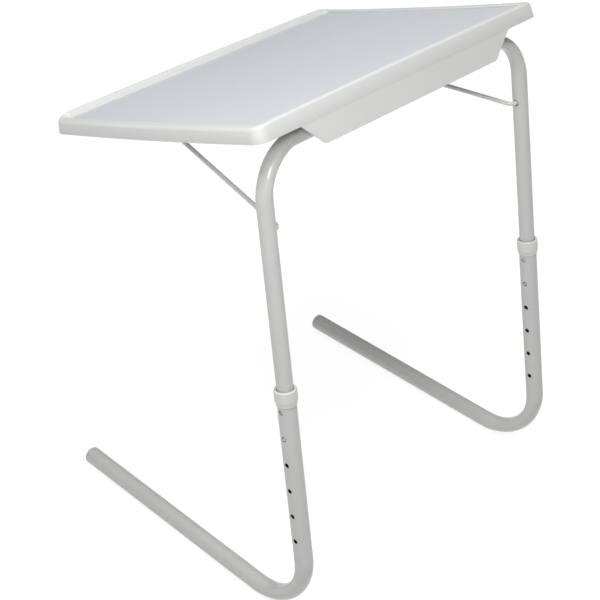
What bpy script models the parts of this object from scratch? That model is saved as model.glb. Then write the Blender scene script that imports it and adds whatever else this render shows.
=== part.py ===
"""Folding tray table with a tilting top, as separate sub-parts. Metres, +Z up, the user sits at -Y."""
import bpy
import bmesh
import math
from mathutils import Matrix, Vector

MM = 0.001
GAP = 0.3
RING = 20

# Telescopic legs, all sizes in millimetres.
FOOT_Y = 252.321
FOOT_HALF_SPACING = 255.86
LEG_OD = 25.0
LEG_WALL = 1.2
LEG_LEAN = 0.22017
LEG_SPLAY = 0.01417
FOOT_TOE_IN = 0.0187
LOWER_BEND_RADIUS = 80.6
LOWER_BEND_FLATTENING = 0.12
FOOT_LENGTH = 455.5
FOOT_CAP_LENGTH = 8.0
LEG_TOP = 352.5
HOLE_PITCH = 38.29
LOWEST_HOLE = 135.3
HOLE_COUNT = 6
HOLE_DIAMETER = 6.6
HOLE_TURN = math.radians(3.5)
BUTTON_LEVEL = LOWEST_HOLE + 4 * HOLE_PITCH
BUTTON_FLANGE = 8.1

# Upper frame, one inverted U of tube.
FRAME_OD = 21.45
FRAME_WALL = 1.2
BAR_LEVEL = 665.2
UPPER_BEND_RADIUS = 64.0
UPPER_BEND_FLATTENING = 0.2
FRAME_END_LEVEL = 263.0

# Collar on top of each leg.
COLLAR_OD = 29.5
COLLAR_BOTTOM = 334.0
COLLAR_TOP = 356.0
COLLAR_MOUTH = 22.5

# Support wire under the tray.
WIRE_DIAMETER = 6.0
WIRE_LEVEL = 565.0
WIRE_REACH = 269.5
WIRE_DROP = math.radians(0.49)
WIRE_ELBOW_RADIUS = 10.0
WIRE_HALF_CROSSBAR = 161.5
WIRE_HOLE_DIAMETER = 8.0
FOLD_RATIO = 1.24

# Tray, in its own frame: x across, t forward from the bar axis, h square to the surface.
TILT = math.radians(21.39)
TRAY_HALF_WIDTH = 264.5
TRAY_FRONT = 363.6
TRAY_BACK = -26.1
TRAY_CORNER = 16.7
TRAY_WALL_LEAN = 0.11
TRAY_BOTTOM = 14.6
TRAY_WALL = 2.5
FRONT_LIP_TOP = 39.8
BACK_LIP_TOP = 37.5
LIP_ROUNDING = 4.0
LIP_CREST = 2.5
LIP_CROWN = 1.2
LIP_FALL_START = 237.0
LIP_FALL_END = 265.0
SIDE_TOP = 32.7
SIDE_ROUNDING = 5.5
SIDE_TOP_WAVE = (-0.35, 1.5, 190.0, 175.0)
SIDE_BOTTOM_WAVE = (-1.1, 2.3, 140.0, 200.0)
DECK_TOP = 29.2
DECK_BOTTOM = 26.7
PANEL_TOP = 30.5
PANEL_HALF_WIDTH = 249.2
PANEL_FRONT = 351.2
PANEL_BACK = -13.8
APRON_OUTER = -25.3
APRON_THICKNESS = 2.5
APRON_BOTTOM = -17.0
SADDLE_X = 120.0
SADDLE_WIDTH = 16.0
SADDLE_HALF_DEPTH = 20.8
BEARING_RADIUS = FRAME_OD / 2 + GAP
CLIP_OUTER_RADIUS = 13.6
CLIP_SCREW_T = 16.6
RACK_X = 100.0
RACK_WEB = 6.0
RACK_TAB_WIDTH = 11.0
RACK_SCREWS_T = (186.0, 304.0)
BOSS_BOTTOM = 17.0
SCREW_SHANK = 2.8
SCREW_HEAD = 6.2
SCREW_HEAD_HEIGHT = 2.3
SCREW_LENGTH = 8.0


# ---------------------------------------------------------------- directions and places

def leg_up(side):
    """Direction from the lower bend up the leg on the given side (+1 right, -1 left)."""
    rise = math.sqrt(1.0 - LEG_LEAN ** 2 - LEG_SPLAY ** 2)
    return Vector((-side * LEG_SPLAY, -LEG_LEAN, rise))


def foot_direction(side):
    """Direction from the lower bend along the foot towards its tip."""
    return Vector((-side * FOOT_TOE_IN, -math.sqrt(1.0 - FOOT_TOE_IN ** 2), 0.0))


def leg_corner(side):
    """Point where the axes of the leg and of its foot would meet."""
    return Vector((side * FOOT_HALF_SPACING, FOOT_Y, LEG_OD / 2))


def leg_matrix(side, level=0.0):
    """Frame on the leg axis: z up the leg, the foot in the half plane of -y."""
    up = leg_up(side)
    foot = foot_direction(side)
    back = -(foot - foot.dot(up) * up).normalized()
    across = back.cross(up)
    rotation = Matrix((across, back, up)).transposed().to_4x4()
    return Matrix.Translation((leg_corner(side) + level * up) * MM) @ rotation


def bar_centre():
    """Middle of the bar that the tray tilts on."""
    corner = leg_corner(1) + BAR_LEVEL * leg_up(1)
    return Vector((0.0, corner.y, corner.z))


def wire_centre():
    """Middle of the line through both ends of the support wire."""
    pivot = leg_corner(1) + WIRE_LEVEL * leg_up(1)
    return Vector((0.0, pivot.y, pivot.z))


def tray_matrix(x=0.0, t=0.0, h=0.0):
    """Frame of the tray: local y points back from the user, local z is square to the deck."""
    place = Matrix.Translation(bar_centre() * MM) @ Matrix.Rotation(TILT, 4, 'X')
    return place @ Matrix.Translation(Vector((x, -t, h)) * MM)


# ---------------------------------------------------------------- mesh helpers

def make_material(name, colour, roughness, metallic=0.0):
    """Plain Principled material."""
    material = bpy.data.materials.new(name)
    material.use_nodes = True
    shader = material.node_tree.nodes["Principled BSDF"]
    shader.inputs["Base Color"].default_value = (*colour, 1.0)
    shader.inputs["Roughness"].default_value = roughness
    shader.inputs["Metallic"].default_value = metallic
    return material


def make_object(name, verts, faces, matrix, material=None, smooth=True):
    """Object from millimetre vertices and faces, with outward normals."""
    mesh = bpy.data.meshes.new(name)
    bm = bmesh.new()
    points = [bm.verts.new(Vector(v) * MM) for v in verts]
    for face in faces:
        bm.faces.new([points[i] for i in face])
    bmesh.ops.recalc_face_normals(bm, faces=bm.faces)
    for face in bm.faces:
        face.smooth = smooth
    bm.to_mesh(mesh)
    bm.free()
    part = bpy.data.objects.new(name, mesh)
    bpy.context.scene.collection.objects.link(part)
    part.matrix_world = matrix
    if material:
        mesh.materials.append(material)
    return part


def cutter(name, verts, faces, matrix):
    """Helper body for a boolean modifier, never rendered."""
    body = make_object(name, verts, faces, matrix, None, False)
    body.hide_render = True
    body.display_type = 'WIRE'
    return body


def combine(part, body, operation):
    """Join a helper body to a part, or cut it away."""
    modifier = part.modifiers.new(body.name, 'BOOLEAN')
    modifier.operation = operation
    modifier.solver = 'EXACT'
    modifier.object = body


def ring_faces(rows, count, closed_rows=False):
    """Quads between neighbouring rings of equal length."""
    faces = []
    last = rows if closed_rows else rows - 1
    for row in range(last):
        low = row * count
        high = ((row + 1) % rows) * count
        for i in range(count):
            j = (i + 1) % count
            faces.append((low + i, low + j, high + j, high + i))
    return faces


def lathe(profile, segments=RING):
    """Body turned about z from (radius, height) points; a profile ending on the axis is capped."""
    verts = []
    for radius, height in profile:
        for k in range(segments):
            angle = 2 * math.pi * k / segments
            verts.append((radius * math.cos(angle), radius * math.sin(angle), height))
    return verts, ring_faces(len(profile), segments)


def lathe_solid(profile, segments=RING):
    """Turned body whose first and last rings are closed by flat faces."""
    verts, faces = lathe(profile, segments)
    faces.append(tuple(range(segments)))
    faces.append(tuple(range((len(profile) - 1) * segments, len(profile) * segments)))
    return verts, faces


def lathe_ring(profile, segments=RING):
    """Turned body with a hole through it; the profile is a closed loop."""
    verts, _ = lathe(profile, segments)
    return verts, ring_faces(len(profile), segments, True)


def prism(outline, low, high, axis='x'):
    """Outline of (a, b) points extruded between two heights along x, y or z."""
    def place(a, b, c):
        return {'x': (c, a, b), 'y': (a, c, b), 'z': (a, b, c)}[axis]
    count = len(outline)
    verts = [place(a, b, low) for a, b in outline] + [place(a, b, high) for a, b in outline]
    faces = ring_faces(2, count)
    faces.append(tuple(range(count)))
    faces.append(tuple(range(count, 2 * count)))
    return verts, faces


def arc(centre_a, centre_b, radius, start, end, steps):
    """Points of an arc in a plane, angles in degrees."""
    points = []
    for k in range(steps + 1):
        angle = math.radians(start + (end - start) * k / steps)
        points.append((centre_a + radius * math.cos(angle), centre_b + radius * math.sin(angle)))
    return points


def smooth_step(value):
    """Ease from 0 to 1."""
    value = min(max(value, 0.0), 1.0)
    return value * value * (3 - 2 * value)


# ---------------------------------------------------------------- bent tubes

def bend_rings(corner, arrive, leave, radius, flattening, steps):
    """Rings round a bend: centre, direction and how much the tube is pressed flat."""
    turn = arrive.angle(leave)
    tangent = radius * math.tan(turn / 2)
    start = corner - tangent * arrive
    inward = (leave - leave.dot(arrive) * arrive).normalized()
    rings = []
    for k in range(steps + 1):
        angle = turn * k / steps
        centre = start + radius * (math.sin(angle) * arrive + (1 - math.cos(angle)) * inward)
        direction = math.cos(angle) * arrive + math.sin(angle) * inward
        ease = smooth_step(4 * min(k, steps - k) / steps)
        rings.append((centre, direction, flattening * ease))
    return rings


def tube(rings, outer, wall, bend_normals, segments=RING):
    """Hollow tube through rings; each bend normal is square to the plane that the tube bends in."""
    verts = []
    for radius, order in ((outer, 1), (outer - wall, -1)):
        for k in range(len(rings))[::order]:
            centre, direction, flattening = rings[k]
            normal = bend_normals[k]
            inward = normal.cross(direction).normalized()
            squeeze = 1 - flattening
            widen = 1 + 0.25 * flattening
            for i in range(segments):
                angle = 2 * math.pi * i / segments
                across = widen * radius * math.cos(angle)
                depth = squeeze * radius * math.sin(angle)
                verts.append(centre + across * normal + depth * inward)
    return verts, ring_faces(2 * len(rings), segments, True)


def rod(rings, radius, normals, segments):
    """Solid round rod through rings, its ends closed flat."""
    verts = []
    for (centre, direction, _), normal in zip(rings, normals):
        inward = normal.cross(direction).normalized()
        for i in range(segments):
            angle = 2 * math.pi * i / segments
            verts.append(centre + radius * math.cos(angle) * normal + radius * math.sin(angle) * inward)
    faces = ring_faces(len(rings), segments)
    faces.append(tuple(range(segments)))
    faces.append(tuple(range((len(rings) - 1) * segments, len(rings) * segments)))
    return verts, faces


def side_drill(name, matrix, level, turn, diameter, inner, outer):
    """Round cutter through a tube wall, pointing away from the leg axis."""
    verts, faces = lathe_solid([(diameter / 2, inner), (diameter / 2, outer)], 16)
    aim = Matrix.Rotation(turn, 4, 'Z') @ Matrix.Rotation(math.pi / 2, 4, 'Y')
    return cutter(name, verts, faces, matrix @ Matrix.Translation((0, 0, level * MM)) @ aim)


# ---------------------------------------------------------------- legs

def local_foot():
    """Foot direction seen from the leg frame."""
    along = foot_direction(1).dot(leg_up(1))
    return Vector((0.0, -math.sqrt(1 - along ** 2), along))


def build_leg_tube(name, side, material):
    """J-shaped lower leg with its row of height holes."""
    down = Vector((0, 0, -1))
    foot = local_foot()
    rings = [(Vector((0, 0, LEG_TOP)), down, 0.0)]
    rings += bend_rings(Vector((0, 0, 0)), down, foot, LOWER_BEND_RADIUS, LOWER_BEND_FLATTENING, 16)
    rings.append(((FOOT_LENGTH - FOOT_CAP_LENGTH - GAP) * foot, foot, 0.0))
    normals = [Vector((1, 0, 0))] * len(rings)
    verts, faces = tube(rings, LEG_OD / 2, LEG_WALL, normals)
    leg = make_object(name, verts, faces, leg_matrix(side), material)
    for k in range(HOLE_COUNT):
        level = LOWEST_HOLE + k * HOLE_PITCH
        drill = side_drill(f"{name}_drill_{k + 1}", leg_matrix(side), level, HOLE_TURN,
                           HOLE_DIAMETER, LEG_OD / 2 - 4, LEG_OD / 2 + 3)
        combine(leg, drill, 'DIFFERENCE')
    return leg


def build_foot_cap(name, side, material):
    """Rounded plug in the end of the foot."""
    radius = LEG_OD / 2 - 0.2
    plug = LEG_OD / 2 - LEG_WALL - GAP
    profile = [(plug - 1.0, -18.0), (plug, -16.0), (plug, 0.0), (radius, 0.0), (radius, 0.8)]
    dome = FOOT_CAP_LENGTH - 0.8
    for k in range(1, 6):
        angle = math.radians(15 * k)
        profile.append((radius * math.cos(angle), 0.8 + dome * math.sin(angle)))
    profile.append((1.2, 0.8 + dome))
    verts, faces = lathe_solid(profile)
    tip = (FOOT_LENGTH - FOOT_CAP_LENGTH) * local_foot()
    turn = Vector((0, 0, 1)).rotation_difference(local_foot()).to_matrix().to_4x4()
    return make_object(name, verts, faces, leg_matrix(side) @ Matrix.Translation(tip * MM) @ turn, material)


def build_collar(name, side, material):
    """Sleeve round the top of the leg with an open mouth round the frame tube."""
    outer = COLLAR_OD / 2
    bore = LEG_OD / 2 + GAP
    mouth = COLLAR_MOUTH / 2
    height = COLLAR_TOP - COLLAR_BOTTOM
    step = LEG_TOP + GAP - COLLAR_BOTTOM
    profile = [(bore, 0.0), (bore + 0.6, 0.0), (outer - 0.5, 5.6), (outer, 6.6)]
    profile += arc(outer - 1.5, height - 1.5, 1.5, 0, 90, 5)
    profile += arc(mouth + 1.2, height - 1.2, 1.2, 90, 180, 3)
    profile += [(mouth, step), (bore, step)]
    verts, faces = lathe_ring(profile, 24)
    return make_object(name, verts, faces, leg_matrix(side, COLLAR_BOTTOM), material)


# ---------------------------------------------------------------- snap buttons

def button_matrix(side):
    """Frame at the snap button: z points out of the leg through the hole."""
    aim = Matrix.Rotation(HOLE_TURN, 4, 'Z') @ Matrix.Rotation(math.pi / 2, 4, 'Y')
    return leg_matrix(side, BUTTON_LEVEL) @ aim


def build_button(name, side, material):
    """Round button with a flange inside the frame tube and a domed face."""
    tip = LEG_OD / 2 + 0.5
    radius = 2.9
    profile = [(4.1, BUTTON_FLANGE - 1.2), (4.1, BUTTON_FLANGE), (radius, BUTTON_FLANGE), (radius, tip - 1.4)]
    profile += [(radius - 0.35, tip - 0.7), (radius - 1.0, tip - 0.25), (radius - 1.9, tip)]
    verts, faces = lathe_solid(profile, 16)
    return make_object(name, verts, faces, button_matrix(side), material)


def build_button_spring(name, side, material):
    """V-shaped leaf inside the frame tube that pushes the button out."""
    thickness = 0.5
    front = BUTTON_FLANGE - 1.2 - GAP
    rear = FRAME_OD / 2 - FRAME_WALL - GAP - 0.35
    apex = 34.0
    outside = [(-5.0, front), (6.0, front), (apex, 1.6)]
    outside += arc(apex, 0.0, 1.6, 80, -80, 6)
    outside += [(apex, -1.6), (8.0, -rear), (-7.0, -rear)]
    inside = [(-7.0, thickness - rear), (8.2, thickness - rear), (apex - 0.2, -1.1)]
    inside += arc(apex, 0.0, 1.1, -80, 80, 6)
    inside += [(apex - 0.2, 1.1), (6.0, front - thickness), (-5.0, front - thickness)]
    outline = [(a, b) for a, b in outside + inside]
    verts, faces = prism(outline, -2.4, 2.4, 'y')
    spun = [(-a, b, c) for a, b, c in verts]
    return make_object(name, spun, faces, button_matrix(side), material, False)


# ---------------------------------------------------------------- upper frame

def build_upper_frame(name, material):
    """Inverted U of tube: two uprights and the bar that carries the tray."""
    centre = bar_centre()
    corners = {side: leg_corner(side) + BAR_LEVEL * leg_up(side) - centre for side in (-1, 1)}
    bar = Vector((1, 0, 0))
    rings = [(leg_corner(-1) + FRAME_END_LEVEL * leg_up(-1) - centre, leg_up(-1), 0.0)]
    rings += bend_rings(corners[-1], leg_up(-1), bar, UPPER_BEND_RADIUS, UPPER_BEND_FLATTENING, 14)
    half = len(rings)
    rings += bend_rings(corners[1], bar, -leg_up(1), UPPER_BEND_RADIUS, UPPER_BEND_FLATTENING, 14)
    rings.append((leg_corner(1) + FRAME_END_LEVEL * leg_up(1) - centre, -leg_up(1), 0.0))
    left_normal = leg_up(-1).cross(bar).normalized()
    right_normal = bar.cross(-leg_up(1)).normalized()
    normals = [left_normal] * half + [right_normal] * (len(rings) - half)
    verts, faces = tube(rings, FRAME_OD / 2, FRAME_WALL, normals)
    frame = make_object(name, verts, faces, Matrix.Translation(centre * MM), material)
    for side, word in ((1, "right"), (-1, "left")):
        inward = math.pi if side > 0 else 0.0
        drill = side_drill(f"wire_drill_{word}", leg_matrix(side), WIRE_LEVEL, inward,
                           WIRE_HOLE_DIAMETER, FRAME_OD / 2 - 4, FRAME_OD / 2 + 3)
        combine(frame, drill, 'DIFFERENCE')
        drill = side_drill(f"button_drill_{word}", leg_matrix(side), BUTTON_LEVEL, HOLE_TURN,
                           HOLE_DIAMETER, FRAME_OD / 2 - 4, FRAME_OD / 2 + 3)
        combine(frame, drill, 'DIFFERENCE')
    return frame


# ---------------------------------------------------------------- support wire

def build_support_wire(name, material):
    """U-shaped wire: its ends turn out into the uprights, its crossbar carries the tray."""
    pivot_x = (leg_corner(1) + WIRE_LEVEL * leg_up(1)).x
    end = Vector((pivot_x - 4.0, 0, 0))
    elbow = Vector((pivot_x - FRAME_OD / 2 - 7.5, 0, 0))
    corner = Vector((WIRE_HALF_CROSSBAR, -WIRE_REACH, 0))
    arm = (corner - elbow).normalized()
    inward = Vector((-1, 0, 0))
    half = [(end, inward, 0.0)]
    half += bend_rings(elbow, inward, arm, WIRE_ELBOW_RADIUS, 0.0, 6)
    half += bend_rings(corner, arm, inward, 16.0, 0.0, 8)
    rings = list(half)
    for centre, direction, _ in half[::-1]:
        mirrored = Vector((-centre.x, centre.y, centre.z))
        rings.append((mirrored, Vector((direction.x, -direction.y, 0)), 0.0))
    normals = [Vector((0, 0, 1))] * len(rings)
    verts, faces = rod(rings, WIRE_DIAMETER / 2, normals, 14)
    place = Matrix.Translation(wire_centre() * MM) @ Matrix.Rotation(WIRE_DROP, 4, 'X')
    return make_object(name, verts, faces, place, material)


# ---------------------------------------------------------------- tray

CORNER_STEPS = 12
CORNER_SIGNS = ((1, 1), (-1, 1), (-1, -1), (1, -1))
LONG_STATIONS = (340.0, 315.0, 280.0, 230.0, 170.0, 110.0, 60.0, 20.0)
SHORT_STATIONS = (243.0, 237.0, 220.0, 190.0, 140.0, 70.0, 0.0)


def tray_loop(half_width, front, back, corner):
    """Rounded rectangle as (x, t) points, with stations along all four sides."""
    across = list(SHORT_STATIONS) + [-x for x in SHORT_STATIONS[-2::-1]]
    points = []
    for sx, st in CORNER_SIGNS:
        cx = sx * (half_width - corner)
        edge = front if st > 0 else back
        ct = edge - st * corner
        start = math.degrees(math.atan2(st, sx)) - 45.0
        points += arc(cx, ct, corner, start, start + 90, CORNER_STEPS)
        if sx == st:
            points += [(sx * x, edge) for x in across]
        else:
            points += [(cx + sx * corner, t) for t in LONG_STATIONS[::st]]
    return points


def lip_share(distance):
    """Share of the lip height at a distance from the middle, measured round the corner."""
    return 1.0 - smooth_step((distance - LIP_FALL_START) / (LIP_FALL_END - LIP_FALL_START))


def lip_loop():
    """Lip top and its share for every point of a tray loop."""
    bend_start = TRAY_HALF_WIDTH - TRAY_CORNER
    ridge_corner = TRAY_CORNER - LIP_ROUNDING - 2.2
    straight = list(SHORT_STATIONS) + list(SHORT_STATIONS[-2::-1])
    around = [bend_start + ridge_corner * math.radians(90 * k / CORNER_STEPS) for k in range(CORNER_STEPS + 1)]
    values = []
    for sx, st in CORNER_SIGNS:
        top = FRONT_LIP_TOP if st > 0 else BACK_LIP_TOP
        distances = around[::-1] + straight if sx == st else around
        for distance in distances:
            crown = LIP_CROWN * (min(distance, bend_start) / bend_start) ** 2
            values.append((top - crown, lip_share(distance)))
        if sx != st:
            values += [(top, 0.0)] * len(LONG_STATIONS)
    return values


def wave(settings, t):
    """Gentle bow of the long sides: height added at a distance t from the bar."""
    base, amount, centre, half = settings
    return base + amount * ((t - centre) / half) ** 2


def side_section():
    """Outer cross-section of the long sides as (inset, height), from the lower edge to the deck."""
    shoulder = SIDE_TOP - SIDE_ROUNDING
    start = TRAY_WALL_LEAN * (shoulder - TRAY_BOTTOM)
    points = [(0.6, TRAY_BOTTOM), (0.0, TRAY_BOTTOM + 0.7)]
    points += [(start + SIDE_ROUNDING - a, b) for a, b in arc(0, shoulder, SIDE_ROUNDING, 0, 90, 5)]
    edge = TRAY_HALF_WIDTH - PANEL_HALF_WIDTH
    points += [(edge - 1.8, SIDE_TOP), (edge - 0.9, SIDE_TOP - 0.25), (edge - 0.25, SIDE_TOP - 0.9)]
    return points + [(edge, SIDE_TOP - 1.8), (edge, DECK_TOP)]


def lip_section(top):
    """Outer cross-section of the front or back lip, point for point beside side_section()."""
    shoulder = top - LIP_ROUNDING
    start = TRAY_WALL_LEAN * (shoulder - TRAY_BOTTOM)
    crest = start + LIP_ROUNDING
    points = [(0.6, TRAY_BOTTOM), (0.0, TRAY_BOTTOM + 0.7)]
    points += [(crest - a, b) for a, b in arc(0, shoulder, LIP_ROUNDING, 0, 90, 5)]
    points += [(crest + a, b) for a, b in arc(0, top - LIP_CREST, LIP_CREST, 62, 35, 1)]
    edge = TRAY_FRONT - PANEL_FRONT
    return points + [(edge - 0.5, PANEL_TOP + 1.1), (edge, PANEL_TOP + 0.3), (edge, DECK_TOP)]


def side_hollow():
    """Cross-section of the hollow under the long sides, from the deck out to the lower edge."""
    roof = SIDE_TOP - TRAY_WALL - 0.1
    wall = TRAY_WALL
    return [(14.2, DECK_BOTTOM), (13.4, roof), (wall + 3.0, roof), (wall + 1.7, roof - 1.5), (wall + 0.6, TRAY_BOTTOM)]


def lip_hollow(top):
    """Cross-section of the hollow under a lip, point for point beside side_hollow()."""
    return [(11.2, DECK_BOTTOM), (10.5, 29.9), (6.9, top - 3.4), (5.4, top - 4.2), (TRAY_WALL + 0.6, TRAY_BOTTOM)]


def tray_shell():
    """Deck with its raised rim, as one hollow moulding open below."""
    hollow_corners = (6.0, 6.6, 11.0, 12.4, 13.6)
    outer_corners = [TRAY_CORNER - inset for inset, _ in side_section()[:8]] + [7.3, 6.4, 5.8, 5.5, 5.5]
    waved = (False, True, True, True, False) + (False, False) + (True,) * 10 + (False,)
    low_edge = (4, 5, 6)
    sides = side_hollow() + side_section()
    corners = list(hollow_corners) + outer_corners
    lips = lip_loop()
    verts = []
    for level, ((side_inset, side_height), corner) in enumerate(zip(sides, corners)):
        end_inset = (lip_hollow(FRONT_LIP_TOP) + lip_section(FRONT_LIP_TOP))[level][0]
        loop = tray_loop(TRAY_HALF_WIDTH - side_inset, TRAY_FRONT - end_inset, TRAY_BACK + end_inset, corner)
        for (x, t), (top, share) in zip(loop, lips):
            end_height = (lip_hollow(top) + lip_section(top))[level][1]
            low = wave(SIDE_BOTTOM_WAVE, t) if level in low_edge else 0.0
            high = wave(SIDE_TOP_WAVE, t) if waved[level] else 0.0
            height = side_height + high + share * (end_height - side_height - high)
            verts.append((x, -t, height + low))
    count = len(lips)
    rows = len(sides)
    faces = ring_faces(rows, count)
    faces.append(tuple(range(count)))
    faces.append(tuple(range((rows - 1) * count, rows * count)))
    return verts, faces


def slab(rectangles, low, high):
    """Flat body covering the union of (x0, x1, t0, t1) rectangles, such as a grid of ribs."""
    xs = sorted({value for r in rectangles for value in r[:2]})
    ts = sorted({value for r in rectangles for value in r[2:]})

    def solid(i, j):
        if not (0 <= i < len(xs) - 1 and 0 <= j < len(ts) - 1):
            return False
        x = (xs[i] + xs[i + 1]) / 2
        t = (ts[j] + ts[j + 1]) / 2
        return any(r[0] < x < r[1] and r[2] < t < r[3] for r in rectangles)

    index = {}
    verts = []

    def corner(i, j, top):
        key = (i, j, top)
        if key not in index:
            index[key] = len(verts)
            verts.append((xs[i], -ts[j], high if top else low))
        return index[key]

    faces = []
    for i in range(len(xs) - 1):
        for j in range(len(ts) - 1):
            if not solid(i, j):
                continue
            square = ((i, j), (i + 1, j), (i + 1, j + 1), (i, j + 1))
            for top in (0, 1):
                faces.append(tuple(corner(a, b, top) for a, b in square))
            beyond = (solid(i, j - 1), solid(i + 1, j), solid(i, j + 1), solid(i - 1, j))
            for k, filled in enumerate(beyond):
                if not filled:
                    (a, b), (c, d) = square[k], square[(k + 1) % 4]
                    faces.append((corner(a, b, 0), corner(c, d, 0), corner(c, d, 1), corner(a, b, 1)))
    return verts, faces


def rib_rectangles():
    """Stiffening ribs under the deck, clear of the folding wire and of the racks."""
    half = 0.9
    ribs = []
    for x in (-200.0, -145.0, -50.0, 0.0, 50.0, 145.0, 200.0):
        ribs.append((x - half, x + half, 34.0, 176.0))
    for t in (34.9, 82.0, 129.0, 175.1):
        ribs.append((-200.0 - half, 200.0 + half, t - half, t + half))
    for x in (-145.0, -50.0, 0.0, 50.0, 145.0):
        ribs.append((x - half, x + half, 244.0, 336.0))
    ribs.append((-145.0 - half, 145.0 + half, 334.2, 336.0))
    return ribs


def apron_outline():
    """Back apron as (x, h) points: a deep middle with slanted sides run out under the rim."""
    right = [(203.5, 20.0), (203.5, 14.9), (200.5, 14.9)]
    right += arc(200.5, 7.4, 7.5, 90, 135, 5)[1:]
    right += arc(160.0, APRON_BOTTOM + 9.0, 9.0, -45, -90, 5)
    return right + [(-x, h) for x, h in right[::-1]]


def saddle_outline():
    """Bearing block over the bar as (t, h) points, its groove open below."""
    low = 0.8
    angle = math.degrees(math.asin(low / BEARING_RADIUS))
    outline = [(-SADDLE_HALF_DEPTH, low), (-SADDLE_HALF_DEPTH, 14.0), (-SADDLE_HALF_DEPTH + 3.5, DECK_BOTTOM + 0.8)]
    outline += [(SADDLE_HALF_DEPTH - 3.5, DECK_BOTTOM + 0.8), (SADDLE_HALF_DEPTH, 14.0), (SADDLE_HALF_DEPTH, low)]
    outline += arc(0, 0, BEARING_RADIUS, angle, 180 - angle, 16)
    return outline


def pilot(name, x, t, low, depth):
    """Blind hole for a screw, open below."""
    radius = SCREW_SHANK / 2 + GAP / 2
    verts, faces = lathe_solid([(radius, low - 2.0), (radius, low + depth)], 16)
    return cutter(name, verts, faces, tray_matrix(x, t, 0.0))


def build_table_top(name, material):
    """Tray moulding: deck, rim, lips, apron, ribs, bar saddles and screw bosses."""
    verts, faces = tray_shell()
    tray = make_object(name, verts, faces, tray_matrix(), material)
    verts, faces = prism(apron_outline(), -APRON_OUTER - APRON_THICKNESS, -APRON_OUTER, 'y')
    combine(tray, cutter("tray_apron", verts, faces, tray_matrix()), 'UNION')
    verts, faces = slab(rib_rectangles(), DECK_BOTTOM - 5.5, DECK_BOTTOM + 0.8)
    combine(tray, cutter("tray_ribs", verts, faces, tray_matrix()), 'UNION')
    for side, word in ((1, "right"), (-1, "left")):
        outline = [(-t, h) for t, h in saddle_outline()]
        verts, faces = prism(outline, -SADDLE_WIDTH / 2, SADDLE_WIDTH / 2, 'x')
        combine(tray, cutter(f"tray_saddle_{word}", verts, faces, tray_matrix(side * SADDLE_X)), 'UNION')
        for t in RACK_SCREWS_T:
            verts, faces = lathe_solid([(4.2, BOSS_BOTTOM), (4.6, DECK_BOTTOM + 0.8)], 20)
            place = tray_matrix(side * RACK_X, t, 0.0)
            combine(tray, cutter(f"tray_boss_{word}_{t:.0f}", verts, faces, place), 'UNION')
    for side, word in ((1, "right"), (-1, "left")):
        for t in RACK_SCREWS_T:
            hole = pilot(f"boss_pilot_{word}_{t:.0f}", side * RACK_X, t, BOSS_BOTTOM, 8.5)
            combine(tray, hole, 'DIFFERENCE')
        for end, t in (("front", CLIP_SCREW_T), ("back", -CLIP_SCREW_T)):
            hole = pilot(f"saddle_pilot_{word}_{end}", side * SADDLE_X, t, 0.8, 9.0)
            combine(tray, hole, 'DIFFERENCE')
    return tray


def build_surface_sheet(name, material):
    """Thin writing surface laid inside the rim."""
    low = DECK_TOP + GAP - PANEL_TOP
    verts = []
    levels = ((0.6, low), (0.4, low + 0.1), (0.4, -0.25), (0.65, 0.0))
    for inset, height in levels:
        loop = tray_loop(PANEL_HALF_WIDTH - inset, PANEL_FRONT - inset, PANEL_BACK + inset, 5.5 - inset)
        verts += [(x, -t, height) for x, t in loop]
    count = len(verts) // len(levels)
    faces = ring_faces(len(levels), count)
    faces.append(tuple(range(count)))
    faces.append(tuple(range((len(levels) - 1) * count, len(levels) * count)))
    return make_object(name, verts, faces, tray_matrix(0.0, 0.0, PANEL_TOP), material)


def build_pivot_clip(name, side, material):
    """Strap under the bar, screwed to its saddle."""
    top = 0.5
    flange = -1.9
    bore_angle = math.degrees(math.asin(top / BEARING_RADIUS))
    strap_angle = math.degrees(math.asin(-flange / CLIP_OUTER_RADIUS))
    outline = [(-SADDLE_HALF_DEPTH, top), (-SADDLE_HALF_DEPTH, flange)]
    outline += arc(0, 0, CLIP_OUTER_RADIUS, 180 + strap_angle, 360 - strap_angle, 14)
    outline += [(SADDLE_HALF_DEPTH, flange), (SADDLE_HALF_DEPTH, top)]
    outline += arc(0, 0, BEARING_RADIUS, bore_angle, -180 - bore_angle, 20)
    mirrored = [(-t, h) for t, h in outline]
    verts, faces = prism(mirrored, -SADDLE_WIDTH / 2, SADDLE_WIDTH / 2, 'x')
    place = tray_matrix(side * SADDLE_X)
    clip = make_object(name, verts, faces, place, material, False)
    for end, t in (("front", CLIP_SCREW_T), ("back", -CLIP_SCREW_T)):
        verts, faces = lathe_solid([(SCREW_SHANK / 2 + GAP, flange - 2), (SCREW_SHANK / 2 + GAP, top + 2)], 16)
        drill = cutter(f"{name}_drill_{end}", verts, faces, place @ Matrix.Translation((0, -t * MM, 0)))
        combine(clip, drill, 'DIFFERENCE')
    return clip


def wire_in_tray(raised):
    """Crossbar centre as (t, h) in the tray frame once the front edge is raised by some degrees."""
    swing = math.radians(raised * FOLD_RATIO) - WIRE_DROP
    tilt = TILT - math.radians(raised)
    offset = wire_centre() - bar_centre()
    y = offset.y - WIRE_REACH * math.cos(swing)
    z = offset.z + WIRE_REACH * math.sin(swing)
    return Vector((-y * math.cos(tilt) - z * math.sin(tilt), -y * math.sin(tilt) + z * math.cos(tilt)))


def beside_wire(raised, distance, turn=0.0, lift=0.0):
    """Point of the rack edge over the wire, turned from the square direction by some degrees."""
    along = (wire_in_tray(raised - 0.1) - wire_in_tray(raised + 0.1)).normalized()
    square = Vector((-along.y, along.x))
    angle = math.radians(turn)
    centre = wire_in_tray(raised) + lift * square
    return tuple(centre + distance * (math.cos(angle) * square + math.sin(angle) * along))


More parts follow.
